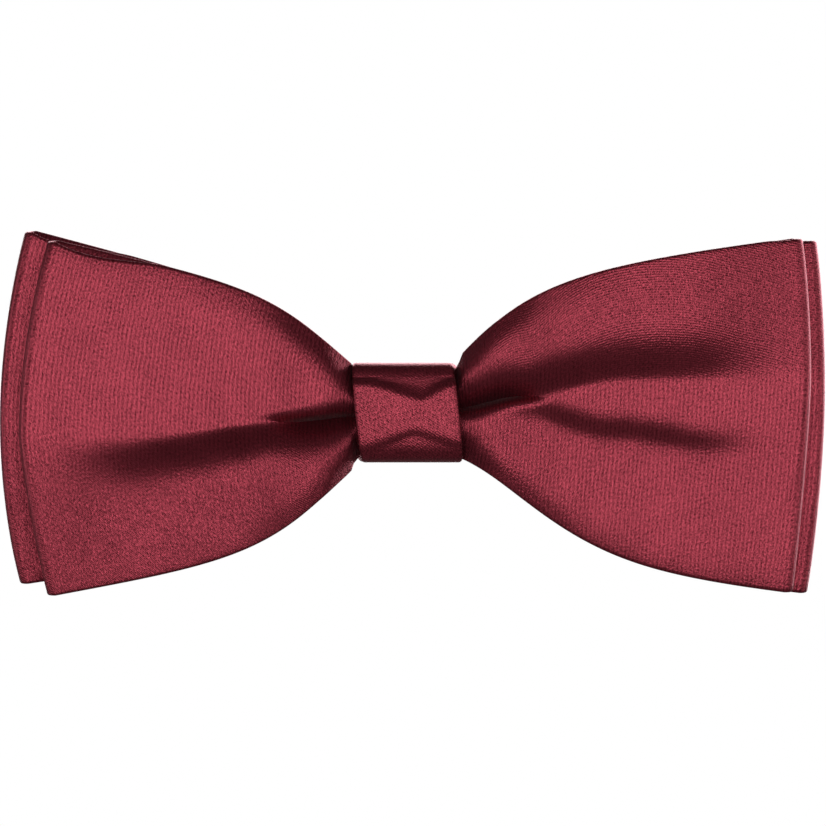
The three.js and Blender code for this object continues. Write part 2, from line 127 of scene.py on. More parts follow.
# %% Shader helpers
class Value:
    """A node's output, with arithmetic that adds Math nodes to the same tree."""

    def __init__(self, socket):
        self.socket = socket

    def calculated(self, operation, *terms):
        """One Math node on the terms, each a Value or a number."""
        finish = Finish(self.socket.id_data)
        return finish.node("ShaderNodeMath", {"operation": operation}, dict(enumerate(terms)))

    def __add__(self, other):
        return self.calculated("ADD", self, other)

    def __sub__(self, other):
        return self.calculated("SUBTRACT", self, other)

    def __rsub__(self, other):
        return self.calculated("SUBTRACT", other, self)

    def __mul__(self, other):
        return self.calculated("MULTIPLY", self, other)

    def __pow__(self, other):
        return self.calculated("POWER", self, other)

    __radd__ = __add__

    def parts(self):
        """The X, Y and Z of a vector."""
        first = Finish(self.socket.id_data).node("ShaderNodeSeparateXYZ", {}, {0: self})
        return [Value(output) for output in first.socket.node.outputs]


class Finish:
    """A node tree that nodes are added to by type, settings, and socket values or links."""

    def __init__(self, tree):
        self.tree = tree

    def node(self, kind, settings=None, sockets=None, output=0):
        """Adds a node, makes its settings first, then fills its sockets, and gives one of its outputs."""
        made = self.tree.nodes.new(kind)
        for name, value in (settings or {}).items():
            setattr(made, name, value)
        for key, value in (sockets or {}).items():
            socket = made.inputs[key]
            if isinstance(value, Value):
                self.tree.links.new(value.socket, socket)
            else:
                socket.default_value = value
        return Value(made.outputs[output])

    def mix(self, share, dark, light):
        """A colour between two, by share."""
        settings = {"data_type": "RGBA", "clamp_factor": True}
        return self.node("ShaderNodeMix", settings, {0: share, 6: dark, 7: light}, 2)

    def wave(self, turns):
        """A sine of a number of turns, from 0 to 1."""
        angle = turns * (2 * np.pi)
        return angle.calculated("SINE", angle) * 0.5 + 0.5

    def noise(self, place, scale, detail=2.0, roughness=0.5):
        """Soft random patches, from 0 to 1 and mostly near a half."""
        sockets = {"Vector": place, "Scale": scale, "Detail": detail, "Roughness": roughness}
        return self.node("ShaderNodeTexNoise", {}, sockets)

    def stretched(self, place, size):
        """A place with each direction multiplied by size, which draws patterns out along the small ones."""
        return self.node("ShaderNodeVectorMath", {"operation": "MULTIPLY"}, {0: place, 1: size})

    def cloth(self):
        """The place on the cloth in metres, from the UV map that every piece made here carries."""
        return self.node("ShaderNodeUVMap", {"uv_map": "cloth"})

    def place(self):
        """The place in the piece's own space, in metres."""
        return self.node("ShaderNodeTexCoord", output=3)

    def bump(self, height, distance, strength=1.0, rounded=0.0):
        """The surface's normal, tilted by a height of up to distance metres, its edges rounded first."""
        sockets = {"Height": height, "Distance": distance, "Strength": strength}
        if rounded:
            sockets["Normal"] = self.node("ShaderNodeBevel", {"samples": 8}, {"Radius": rounded})
        return self.node("ShaderNodeBump", {}, sockets)


def finish_of(name, constants, make):
    """A material on the Principled shader: constants go on its sockets, and make fills the linked ones."""
    material = bpy.data.materials.new(name)
    material.use_nodes = True
    tree = material.node_tree
    shader = tree.nodes["Principled BSDF"]
    for key, value in constants.items():
        shader.inputs[key].default_value = value
    for key, value in make(Finish(tree)).items():
        tree.links.new(value.socket, shader.inputs[key])
    return material


print("patterns are written with", ", ".join(name for name in vars(Finish) if name[0] != "_"))

# %% [markdown]
# ## Satin
#
# In satin each weft thread floats over several warp threads, so the face is rows of short shiny floats.
# Up close two sets of lines cross: steep ribs about 0.6 mm apart, and finer diagonals about 0.3 mm apart.
# Which set shows depends on how the cloth is turned to the light. Here that light is painted: the attribute
# twill, set by place where the surface is made, shares the face between them in colour and bump. The gaps
# between floats are darker and rougher, and the floats mirror the light in their own colour, as silk does,
# which a share of metal stands for.

# %% Satin finish
RIB_PITCH = 0.62 * MM
RIB_LEAN = np.radians(1)
TWILL_PITCH = 0.31 * MM
TWILL_RISE = np.radians(32)
SATIN_GAP = (0.042, 0.0036, 0.0062, 1.0)
SATIN_FLOAT = (0.192, 0.0232, 0.0358, 1.0)


def satin_weave(f):
    """The height of the weave and its lightness, both about 0 to 1."""
    place = f.cloth()
    along, over, _ = place.parts()
    # painted light: how much the diagonals outshine the ribs here, set by place as the light would show
    # them
    share = f.node("ShaderNodeAttribute", {"attribute_name": "twill"}, {}, 2)
    sway = f.noise(place, 260.0, 2.0) * 0.9
    ribs = f.wave((along * np.cos(RIB_LEAN) + over * np.sin(RIB_LEAN)) * (1 / RIB_PITCH) + sway)
    lines = f.wave((over * np.cos(TWILL_RISE) - along * np.sin(TWILL_RISE)) * (1 / TWILL_PITCH) + sway)
    grain = f.noise(f.stretched(place, (1.0, 0.6, 1.0)), 4600.0, 1.5, 0.7)
    cloud = f.noise(place, 160.0, 3.0, 0.55)
    weave = ribs * (0.40 - share * 0.28) + lines * (share * 0.30 + 0.05) + (grain - 0.5) * 2.2 + 0.45
    return weave, weave + cloud * 0.42 - 0.28


def satin_finish(f):
    """Dark gaps and light floats, the floats smoother, and the weave raised as a bump."""
    weave, lightness = satin_weave(f)
    return {
        "Base Color": f.mix(lightness, SATIN_GAP, SATIN_FLOAT),
        "Roughness": 0.42 - weave * 0.08,
        "Normal": f.bump(weave, 0.055 * MM, 0.9),
    }


SATIN = finish_of(
    "burgundy satin",
    {
        "Metallic": 0.85,
        "Specular Tint": (0.90, 0.58, 0.62, 1.0),
        "Sheen Weight": 0.03,
        "Sheen Roughness": 0.3,
        "Sheen Tint": (1.0, 0.75, 0.75, 1.0),
    },
    satin_finish,
)
print("ribs every", round(RIB_PITCH / MM, 2), "mm, diagonals every", round(TWILL_PITCH / MM, 2), "mm")

# %% [markdown]
# ## Canvas, thread, nickel and floor
#
# The stiffener is undyed plain-weave canvas. The thread is spun polyester in the satin's shade, with its
# twist drawn as slanting bars. The clip is nickel-plated steel: a warm grey that stamping has brushed
# along its length, and that handling has dulled in soft patches. The springs are plain drawn wire. The
# floor is matt and nearly white, and glows a little, so it stays pale away from the lights.

# %% Other finishes
CANVAS_COUNT = 1800.0  # threads in a metre
TWIST_ALONG = 1900.0  # bars of twist in a metre, along a thread and round it
TWIST_ROUND = 1060.0


def canvas_finish(f):
    """Two crossed sines for the plain weave, with soft noise for the slubs in its yarn."""
    along, over, _ = f.cloth().parts()
    weave = f.wave(along * CANVAS_COUNT) * f.wave(over * CANVAS_COUNT)
    slub = f.noise(f.cloth(), 500.0, 2.0)
    return {
        "Base Color": f.mix(weave * 0.6 + slub * 0.5, (0.42, 0.38, 0.31, 1.0), (0.78, 0.74, 0.66, 1.0)),
        "Normal": f.bump(weave + slub * 0.4, 0.06 * MM),
    }


def thread_finish(f):
    """A slanting sine for the twist, and fine noise for the fuzz."""
    place = f.place()
    along, over, _ = f.cloth().parts()
    twist = f.wave(along * TWIST_ALONG + over * TWIST_ROUND)
    fuzz = f.noise(place, 5200.0, 3.0)
    return {
        "Base Color": f.mix(twist * 0.6 + fuzz * 0.5, (0.07, 0.008, 0.012, 1.0), (0.24, 0.028, 0.042, 1.0)),
        "Roughness": 0.75 - twist * 0.2,
        "Normal": f.bump(twist + fuzz * 0.6, 0.05 * MM),
    }


def nickel_finish(f):
    """Noise drawn out along the strip for the brushing, with dull patches and a few dark specks."""
    place = f.place()
    brushing = f.noise(f.stretched(place, (1.0, 6.0, 14.0)), 900.0, 3.0)
    dulling = f.noise(place, 90.0, 4.0, 0.6)
    specks = f.noise(place, 1600.0, 2.0) ** 6.0
    shine = dulling * 1.2 - 0.1 - specks * 2.0
    return {
        "Base Color": f.mix(shine, (0.44, 0.42, 0.39, 1.0), (0.78, 0.75, 0.70, 1.0)),
        "Roughness": 0.16 + dulling * 0.24 + brushing * 0.12,
        "Normal": f.bump(brushing, 0.006 * MM, 1.0, 0.12 * MM),
    }


def wire_finish(f):
    """The fine grain that drawing leaves on a wire."""
    place = f.place()
    drawn = f.noise(place, 2600.0, 3.0)
    return {
        "Base Color": f.mix(drawn, (0.34, 0.34, 0.35, 1.0), (0.66, 0.66, 0.67, 1.0)),
        "Roughness": 0.22 + drawn * 0.2,
        "Normal": f.bump(drawn, 0.01 * MM),
    }


def floor_finish(f):
    """Almost plain, with a very faint mottle."""
    place = f.place()
    mottle = f.noise(place, 3.0, 3.0)
    return {"Base Color": f.mix(mottle, (0.80, 0.80, 0.79, 1.0), (0.86, 0.86, 0.85, 1.0))}


CANVAS = finish_of("undyed canvas", {"Roughness": 0.9}, canvas_finish)
THREAD = finish_of("spun thread", {"Sheen Weight": 0.2}, thread_finish)
NICKEL = finish_of("nickel plate", {"Metallic": 1.0}, nickel_finish)
WIRE = finish_of("drawn wire", {"Metallic": 1.0}, wire_finish)
FLOOR = finish_of(
    "pale floor",
    {"Roughness": 0.85, "Emission Color": (0.96, 0.96, 0.95, 1.0), "Emission Strength": 0.4},
    floor_finish,
)
print("finishes:", ", ".join(material.name for material in (SATIN, CANVAS, THREAD, NICKEL, WIRE, FLOOR)))

# %% [markdown]
# ## The floor
#
# A plain pale disc lies well below the bow and shows in the views from above. The satin doesn't mirror
# it, as if dark cloth lay under the bow in a studio, so the folds that face down turn as dark as those
# that face up.

# %% Floor
FLOOR_DROP = -0.6
FLOOR_RADIUS = 1.4
FLOOR_SIDES = 64

turn = np.linspace(0.0, 2.0 * np.pi, FLOOR_SIDES, endpoint=False)
rim = np.stack([FLOOR_RADIUS * np.cos(turn), FLOOR_RADIUS * np.sin(turn), 0 * turn + FLOOR_DROP], axis=1)
floor_mesh = bpy.data.meshes.new("floor")
floor_mesh.from_pydata(rim.tolist(), [], [list(range(FLOOR_SIDES))])
floor_mesh.materials.append(FLOOR)
floor = bpy.data.objects.new("floor", floor_mesh)
bpy.context.scene.collection.objects.link(floor)
floor.visible_glossy = False
print("the floor is", FLOOR_RADIUS * 2, "m across")

# %% [markdown]
# ## Surfaces on a grid
#
# Every soft piece is a grid of points: one direction runs along the piece, the other goes round its
# section. The points come from formulas on whole numpy arrays, and one helper makes the mesh, wraps it,
# caps it and gives it a UV map in real lengths, so a weave keeps its scale wherever it lies.


# %% Grid to mesh
def grid_mesh(name, points, material, caps=False, shares=None, turned=False):
    """A mesh from points[station, ring, xyz] in millimetres, the ring closed on itself.

    U is the mean length run along the stations, and V the length run round each station's ring, both
    in metres; turned swaps them. shares, where given, is one number for each point, kept as the
    attribute twill.
    """
    stations, ring = points.shape[:2]
    index = np.arange(stations * ring).reshape(stations, ring)
    ahead = np.roll(index, -1, axis=1)
    quads = np.stack([index[:-1], index[1:], ahead[1:], ahead[:-1]], axis=2).reshape(-1, 4)
    faces = quads.tolist()
    if caps:
        faces += [index[0].tolist(), index[-1][::-1].tolist()]
    mesh = bpy.data.meshes.new(name)
    mesh.from_pydata((points.reshape(-1, 3) * MM).tolist(), [], faces)
    mesh.polygons.foreach_set("use_smooth", np.ones(len(faces), dtype=bool))

    steps_along = np.linalg.norm(np.diff(points, axis=0), axis=2).mean(axis=1)
    along = np.concatenate([[0.0], np.cumsum(steps_along)]) * MM
    closed = np.concatenate([points, points[:, :1]], axis=1)
    steps_round = np.linalg.norm(np.diff(closed, axis=1), axis=2)
    around = np.concatenate([np.zeros((stations, 1)), np.cumsum(steps_round, axis=1)], axis=1) * MM
    uv = np.stack([np.broadcast_to(along[:, None], around.shape), around], axis=2)
    uv = uv[..., ::-1] * [1.0, -1.0] if turned else uv
    corners = np.stack([uv[:-1, :-1], uv[1:, :-1], uv[1:, 1:], uv[:-1, 1:]], axis=2).reshape(-1, 2)
    layer = mesh.uv_layers.new(name="cloth")
    values = np.zeros((len(mesh.loops), 2))
    values[: len(corners)] = corners
    layer.data.foreach_set("uv", values.ravel())
    if shares is not None:
        twill = mesh.attributes.new("twill", "FLOAT", "POINT")
        twill.data.foreach_set("value", shares.ravel().astype(np.float32))
    mesh.materials.append(material)
    mesh.update()
    piece = bpy.data.objects.new(name, mesh)
    bpy.context.scene.collection.objects.link(piece)
    return piece


def ply(piece, thickness):
    """Gives a sleeve's skin the thickness of one ply, inwards, in millimetres."""
    solid = piece.modifiers.new("ply", "SOLIDIFY")
    solid.thickness = thickness * MM
    solid.offset = -1.0
    solid.use_rim = True


print("grid_mesh makes a skin, and ply gives it its thickness")

# %% [markdown]
# ## Numbers that change along the cloth
#
# A crease starts sharp at the knot and dies out near the end, so its depth and width change along the
# wing. Each such number is given at a few stops, with a smooth step between one stop and the next. A
# fold is then set at a few places and has no kinks between them.


# %% Stops and walls
def ease(x, start, end):
    """0 before start and 1 after end, with a smooth step between."""
    t = np.clip((x - start) / (end - start), 0.0, 1.0)
    return t * t * (3.0 - 2.0 * t)


def track(x, *stops):
    """A value that eases through stops, each (x, value), and stays level outside them."""
    value = np.zeros_like(x) + stops[0][1]
    for (x0, v0), (x1, v1) in zip(stops, stops[1:]):
        value = value + (v1 - v0) * ease(x, x0, x1)
    return value


def valley(q, width, power):
    """A rounded wall's section: 1 at the bottom, falling to 0 beyond about twice the width."""
    return np.exp(-((np.abs(q) / width) ** power))


print("halfway between stops of 0 and 1, track gives", float(track(0.5, (0.0, 0.0), (1.0, 1.0))))

# %% [markdown]
# ## The outline of a wing
#
# The strips are gathered at the waist to a bundle that the knot hides. Each edge of a wing springs out of
# the knot, then settles to a gentle straight flare. That is one formula with five numbers for each edge,
# so the four edges of a bow can differ as hand-set cloth does.

# %% Outline
KNOT_EDGE = 7.4  # half the knot's width
WAIST_HALF = 4.2  # half height of the bundle at the middle of the knot
MOUTH_HALF = 5.9  # and at the knot's edges

FRONT_BOW = {
    "left": {
        "end": {"corner": 51.7, "lean": 0.0, "bulge": 4.15, "upper": 2.0, "lower": 1.2},
        "top": {"start": 6.3, "slope": 0.235, "rise": 8.4, "reach": 9.4, "power": 1.35},
        "bottom": {"start": 7.6, "slope": 0.19, "rise": 10.5, "reach": 10.0, "power": 1.33},
        "crease": [(7.0, -0.4), (18.0, -1.2), (40.0, -3.3)],
        "gape": (34.0, 51.9, 1.1),
    },
    "right": {
        "end": {"corner": 56.4, "lean": 0.7, "bulge": 1.9, "upper": 1.5, "lower": 1.7},
        "top": {"start": 7.2, "slope": 0.14, "rise": 11.2, "reach": 9.7, "power": 1.12},
        "bottom": {"start": 6.3, "slope": 0.12, "rise": 14.0, "reach": 16.5, "power": 1.6},
        "crease": [(7.0, 0.5), (17.0, 2.2), (32.0, 4.4)],
        "gape": (52.0, 57.2, 0.3),
    },
}
REAR_BOW = {
    "left": {
        "end": {"corner": 55.85, "lean": -0.35, "bulge": 3.25, "upper": 2.0, "lower": 2.0},
        "top": {"start": 6.0, "slope": 0.262, "rise": 8.2, "reach": 11.0, "power": 1.35},
        "bottom": {"start": 7.0, "slope": 0.15, "rise": 10.7, "reach": 10.6, "power": 1.33},
        "crease": [(7.0, 0.0), (40.0, 0.0)],
        "gape": (40.0, 55.7, 1.1),
    },
    "right": {
        "end": {"corner": 59.0, "lean": 0.7, "bulge": 1.8, "upper": 2.0, "lower": 2.0},
        "top": {"start": 7.0, "slope": 0.13, "rise": 11.5, "reach": 11.0, "power": 1.12},
        "bottom": {"start": 6.1, "slope": 0.12, "rise": 14.2, "reach": 17.5, "power": 1.6},
        "crease": [(7.0, 0.0), (40.0, 0.0)],
        "gape": (53.0, 59.8, 0.3),
    },
}


def edge_height(edge, x):
    """How far an edge stands from the middle line: a bundle inside the knot, then a rise to a flare."""
    bundle = WAIST_HALF + (MOUTH_HALF - WAIST_HALF) * (x / KNOT_EDGE) ** 2
    d = np.maximum(x - KNOT_EDGE + 0.4, 0.0)
    sprung = 1 - np.exp(-((d / edge["reach"]) ** edge["power"]))
    free = edge["start"] + edge["slope"] * d + edge["rise"] * sprung
    out = ease(x, KNOT_EDGE - 0.1, KNOT_EDGE + 1.1)
    return np.where(x < KNOT_EDGE - 0.1, bundle, bundle * (1 - out) + free * out)


def end_reach(end, v):
    """How far out the end fold lies at v, from -1 at the bottom edge to 1 at the top edge."""
    power = np.where(v > 0, end["upper"], end["lower"])
    return end["corner"] + end["lean"] * v + end["bulge"] * (1 - np.abs(v) ** power)


def across(wing, x_top, x_bottom, x_crease, v, gape=True):
    """Height at v: a parabola through the bottom edge, the crease line and the top edge.

    Where the strip gapes, its top edge drops by t * t * (1 - t), scaled so that it drops most by drop.
    """
    top = edge_height(wing["top"], x_top)
    bottom = -edge_height(wing["bottom"], x_bottom)
    if gape:
        start, stop, drop = wing["gape"]
        t = np.clip((x_top - start) / (stop - start), 0.0, 1.0)
        top = top - drop * (27 / 4) * t * t * (1 - t)
    crease = track(x_crease, *wing["crease"]) * ease(x_crease, 0.0, KNOT_EDGE)
    return crease + (top - bottom) / 2 * v + ((top + bottom) / 2 - crease) * v * v


for which, bow in (("front", FRONT_BOW), ("rear", REAR_BOW)):
    reaches = [round(float(end_reach(bow[side]["end"], 0.0)), 1) for side in ("left", "right")]
    print("the", which, "bow reaches these millimetres to the left and right:", reaches)

# %% [markdown]
# ## The folds
#
# The front span of the front loop carries the folds that everyone sees: two rounded lobes on each side,
# with a deep crease between them that starts at the knot. Each crease has a short wall and a long one.
# The short wall is the rolled lip of the flat lobe, and it sinks away some 20 mm out. The long wall climbs
# to the proud lobe and fades out only near the end fold. On the left the flat lobe is the upper one. On
# the right it is the lower one, which falls back once more in a soft terrace.

# %% Relief of the front span
WAIST_RISE = [(1.0, 9.2), (6.4, 11.0)]  # the gathered cloth rises towards the knot's edge
CREASE_FLOOR = [(1.0, 5.8), (6.4, 7.6), (12.0, 7.0)]  # and its crease is deepest just outside the knot
CREASE_LIP = [(8.0, 0.8), (14.0, 0.6), (20.0, 0.7), (26.0, 3.0)]
NOWHERE = [(0.0, 0.0)]
FOLDS = {
    "left": {
        "flat": WAIST_RISE + [(12.0, 12.4), (21.0, 11.2), (50.0, 11.5)],
        "proud": WAIST_RISE + [(14.0, 13.0), (24.0, 14.8), (36.0, 14.6), (56.0, 11.8)],
        "floor": CREASE_FLOOR + [(21.0, 11.1), (50.0, 11.5)],
        "lip": CREASE_LIP,
        "wall": [(7.0, 2.0), (17.0, 2.9), (24.0, 3.6), (31.0, 4.2), (46.0, 5.4)],
        "terrace": NOWHERE,
        "terrace_line": NOWHERE,
        "roll_top": [(7.0, 3.6), (14.0, 1.8), (24.0, 0.6), (38.0, 0.25)],
        "roll_bottom": [(7.0, 3.2), (13.0, 0.9), (22.0, 0.3), (38.0, 0.2)],
    },
    "right": {
        "flat": WAIST_RISE + [(12.0, 12.2), (21.0, 11.7), (54.0, 11.8)],
        "proud": WAIST_RISE + [(14.0, 13.4), (23.0, 15.2), (40.0, 14.9), (59.0, 11.8)],
        "floor": CREASE_FLOOR + [(21.5, 11.6), (54.0, 11.8)],
        "lip": CREASE_LIP,
        "wall": [(7.0, 1.8), (16.0, 2.4), (22.0, 3.8), (34.0, 4.3), (50.0, 5.6)],
        "terrace": [(7.0, 0.0), (24.0, 1.7), (38.0, 1.6), (54.0, 0.1)],
        "terrace_line": [(8.0, 0.6), (17.0, 0.9), (30.0, -2.2), (46.0, -4.2)],
        "roll_top": [(7.0, 3.6), (14.0, 1.8), (22.0, 0.7), (36.0, 0.25)],
        "roll_bottom": [(7.0, 3.0), (15.0, 0.9), (28.0, 0.4), (40.0, 0.2)],
    },
}
FLAT_LOBE = {"left": 1.0, "right": -1.0}  # above the crease on the left, below it on the right
TERRACE_WIDTH = 1.6
ROLL_POWER = 1.6


def front_relief(side, x, z, top, bottom):
    """How far forward the cloth stands: the crease's floor, plus the wall up to the lobe on either side.

    q is the distance from the crease line, positive towards the flat lobe. Near the knot the power is low,
    which makes the floor of the crease sharp. The terrace is a smooth step back across its own line, and
    the two edges of the strip roll back.
    """
    folds = {name: track(x, *stops) for name, stops in FOLDS[side].items()}
    q = FLAT_LOBE[side] * (z - track(x, *FRONT_BOW[side]["crease"]))
    power = track(x, (12.0, 1.25), (22.0, 2.0))
    short_wall = (folds["flat"] - folds["floor"]) * (1 - valley(q, folds["lip"], power))
    long_wall = (folds["proud"] - folds["floor"]) * (1 - valley(q, folds["wall"], power))
    stepped = folds["terrace"] * (0.5 - 0.5 * np.tanh((z - folds["terrace_line"]) / TERRACE_WIDTH))
    rolled_top = folds["roll_top"] * valley(top - z, 2.5, ROLL_POWER)
    rolled_bottom = folds["roll_bottom"] * valley(z - bottom, 2.0, ROLL_POWER)
    return folds["floor"] + np.where(q > 0, short_wall, long_wall) - stepped - rolled_top - rolled_bottom


lobe, crease = front_relief("left", np.full(2, 14.0), np.array([6.0, -0.9]), 15.0, -15.0)
print("the left crease is", round(float(lobe - crease), 1), "mm deep at 14 mm from the middle")

# %% [markdown]
# ## A loop from two spans and two folds
#
# A bow is one strip that runs from the middle of its back, round one end, along the front, round the
# other end and back again. Stations follow it all the way. The back spans are gathered in a few pleats
# that fade outwards, because the waist thread pulls the whole width of the strip into a small bundle.

# %% The loop's middle surface
GATHERS = 2  # pleats across half the strip's width, at the waist
END_RADIUS = 0.9
SPAN_STATIONS = {"back": 34, "front": 80}
FOLD_STATIONS = 10
SLIT = 0.4  # half the gap between the strip's two ends, behind the waist
HALF_LENGTH = 56.0  # about the length of a back span

INNER_GATHERS = [(0.0, 0.5), (9.0, 1.0), (18.0, 1.2), (46.0, 0.0)]
GATHER_HEIGHTS = {
    ("front", "front"): [(4.0, 0.7), (7.8, 0.0)],
    ("front", "back"): INNER_GATHERS,
    ("rear", "front"): INNER_GATHERS,
    ("rear", "back"): [(0.0, 0.5), (9.0, 0.9), (16.0, 1.1), (42.0, 0.0)],
}
SPAN_LEVELS = {
    ("front", "back"): [(2.0, -6.8), (30.0, -7.7), (48.0, -8.3)],
    ("rear", "front"): [(2.0, -4.75), (40.0, -5.9)],
    ("rear", "back"): [(0.0, -2.7)],
}
EDGE_ROLLS = {("front", "back"): 0.88, ("rear", "front"): 0.0, ("rear", "back"): 1.1}
PUFFS = {("front", "back"): 0.0, ("rear", "front"): 0.0, ("rear", "back"): 2.4}


def span_depth(name, span, side, x, z, v, top, bottom):
    """How far back the middle surface lies. Zero is the rear of the clip bar, and the front is negative.

    Each span has its level, its gathers as a cosine across the strip, and its edges rolled back. The rear
    bow's back also puffs out below and above the bar.
    """
    gathers = track(x, *GATHER_HEIGHTS[name, span]) * np.cos(2 * np.pi * GATHERS * v)
    if (name, span) == ("front", "front"):
        return gathers - front_relief(side, x, z, top, bottom)
    rolled = EDGE_ROLLS[name, span] * valley(1 - np.abs(v), 0.07, ROLL_POWER) * ease(x, 10.0, 24.0)
    puff = PUFFS[name, span] * ease(x, 8.0, 24.0) * (1 - 0.6 * ease(x, 34.0, 56.0))
    return track(x, *SPAN_LEVELS[name, span]) + puff * (1 - np.exp(-((z / 8.5) ** 2))) + rolled + gathers


def span_surface(bow, name, side, span, share, v):
    """A span's middle surface, for share from 0 at the waist to 1 where the end fold starts."""
    wing = bow[side]
    x, x_top, x_bottom, x_middle = (
        share * (end_reach(wing["end"], at) - END_RADIUS) for at in (v, 0 * v + 1, 0 * v - 1, 0 * v)
    )
    gape = span == "front"
    z = across(wing, x_top, x_bottom, x_middle, v, gape)
    top = across(wing, x_top, x_bottom, x_middle, 0 * v + 1, gape)
    bottom = across(wing, x_top, x_bottom, x_middle, 0 * v - 1, gape)
    y = span_depth(name, span, side, x, z, v, top, bottom)
    sign = -1.0 if side == "left" else 1.0
    return np.stack([sign * x, y, z], axis=-1)


def fold_surface(bow, name, side, angle, v):
    """The pressed half round between a back span and a front span, from 0 at the back to pi in front."""
    back = span_surface(bow, name, side, "back", 1.0, v)
    front = span_surface(bow, name, side, "front", 1.0, v)
    radius = (back[..., 1] - front[..., 1]) / 2
    sign = -1.0 if side == "left" else 1.0
    x = back[..., 0] + sign * END_RADIUS * np.sin(angle)
    y = (back[..., 1] + front[..., 1]) / 2 + radius * np.cos(angle)
    z = back[..., 2] + (front[..., 2] - back[..., 2]) * angle / np.pi
    return np.stack([x, y, z], axis=-1)


def loop_surface(bow, name, v):
    """The whole loop's middle surface: v has one row for each station, from -1 to 1 across the strip."""
    back = np.linspace(SLIT / HALF_LENGTH, 1.0, SPAN_STATIONS["back"])[:, None]
    fold = np.linspace(0.0, np.pi, FOLD_STATIONS + 2)[1:-1, None]
    front = np.linspace(0.0, 1.0, SPAN_STATIONS["front"])[:, None]
    rows = np.split(v, np.cumsum([len(back), len(fold), len(front), len(front) - 1, len(fold)]))
    return np.concatenate(
        [
            span_surface(bow, name, "left", "back", back, rows[0]),
            fold_surface(bow, name, "left", fold, rows[1]),
            span_surface(bow, name, "left", "front", front[::-1], rows[2]),
            span_surface(bow, name, "right", "front", front[1:], rows[3]),
            fold_surface(bow, name, "right", fold[::-1], rows[4]),
            span_surface(bow, name, "right", "back", back[::-1], rows[5]),
        ]
    )


STATIONS = 2 * (SPAN_STATIONS["back"] + FOLD_STATIONS + SPAN_STATIONS["front"]) - 1
print("a loop has", STATIONS, "stations")

# %% [markdown]
# ## The sleeve round the middle surface
#
# Each strip is a sleeve 52 mm wide: satin folded over a flat strip of canvas and seamed, so its section
# is a flat oval with two rounded edges. The points across are closer together at the middle, where the
# crease needs them. The canvas inside is the same section, thinner and a little narrower.

# %% Sleeve
SLEEVE_HALF = 0.36  # half the thickness of a whole sleeve
SATIN_PLY = 0.12
CANVAS_HALF = 0.1
CANVAS_INSET = 0.04  # how much narrower the canvas is, as a share
POINTS_ACROSS = 90
EDGE_POINTS = 6


def flat_oval(surface, stations, half_thickness, inset=0.0, points_across=POINTS_ACROSS):
    """The section's outline at every station.

    surface(v) gives the middle surface. Two faces lie half_thickness either side of it, joined by half
    rounds. inset is how much narrower the section is than the strip, as a share.
    """
    line = np.linspace(-1.0, 1.0, 41)[None, :] + np.zeros((stations, 1))
    half_width = np.linalg.norm(np.diff(surface(line), axis=1), axis=2).sum(axis=1)[:, None] / 2
    limit = 1.0 - inset
    edge = half_thickness / half_width
    even = np.linspace(-1.0, 1.0, points_across)
    over = (limit - edge) * (0.55 * even + 0.45 * even**3)
    arc = np.linspace(np.pi / 2, -np.pi / 2, EDGE_POINTS + 2)[1:-1]
    out = (limit - edge) + edge * np.cos(arc)
    v = np.concatenate([over, out, over[:, ::-1], -out], axis=1)
    lift = np.concatenate([0 * even + 1, np.sin(arc), 0 * even - 1, -np.sin(arc)])
    over_way = surface(np.minimum(v + 0.004, 1.0)) - surface(np.maximum(v - 0.004, -1.0))
    middle = surface(v)
    normal = np.cross(over_way, np.gradient(middle, axis=0))
    normal /= np.linalg.norm(normal, axis=2, keepdims=True)
    return middle + normal * (lift[None, :, None] * half_thickness)


def painted_twill_share(points):
    """Painted light on the weave: where its diagonal lines outshine its ribs, set by place, below the left
    crease and above the right.
    """
    x, z = points[..., 0], points[..., 2]
    left = ease(-z, -1.0, 7.0) * (1 - 0.5 * ease(-x, 8.0, 20.0) * ease(z, -14.0, -6.0))
    right = ease(z, 3.0, 9.0)
    return np.where(x < 0, left, right)


def mark(piece, body, node):
    """The piece follows a body and stands for a node of the frame, which is hidden."""
    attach(piece, body)
    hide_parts(node)


def sewn_loop(bow, name):
    """One bow: its satin sleeve, and the canvas inside it, each following the bow and standing for a node
    of the frame.
    """

    def surface(v):
        """This bow's own middle surface."""
        return loop_surface(bow, name, v)

    outline = flat_oval(surface, STATIONS, SLEEVE_HALF)
    sleeve = grid_mesh(name + "_bow", outline, SATIN, shares=painted_twill_share(outline))
    ply(sleeve, SATIN_PLY)
    inner = flat_oval(surface, STATIONS, CANVAS_HALF, CANVAS_INSET)
    canvas = grid_mesh(name + "_bow_canvas", inner, CANVAS, caps=True)
    mark(sleeve, "bow", name + "_bow_satin")
    mark(canvas, "bow", name + "_bow_interlining")
    length = np.linalg.norm(np.diff(surface(np.full((STATIONS, 1), 0.5))[:, 0], axis=0), axis=1).sum()


sewn_loop(REAR_BOW, "rear")
sewn_loop(FRONT_BOW, "front")

# %% [markdown]
# ## The knot
#
# A short sleeve of the same satin wraps the waist and its ends are drawn together behind. Pulled tight
# over a round bundle, it stays rounder at its middle than along its rolled side edges, and it buckles in
# two creases: a V above the flat of its face, and a shallower one upside down below it. Two outlines of
# the wrap, a rounder and a squarer one, are blended across the band's width, and the creases are pressed
# in afterwards.

# %% Knot
KNOT_HALF_HEIGHT = 6.75
KNOT_FRONT = -12.6
KNOT_BACK = 1.35
KNOT_MIDDLE = -5.4  # the depth at which the wrap is tallest
KNOT_GAP = 0.15  # half the gap between its ends, behind
KNOT_SLEEVE_HALF = 0.42
KNOT_STATIONS = 150
KNOT_ACROSS = 34
KNOT_HALF_WIDTH = 7.45
KNOT_LEAN = 0.1  # how far its face leans, as a share of its height
# painted light: the knot's weave shows mostly its diagonals, the same all over
KNOT_TWILL = 0.85


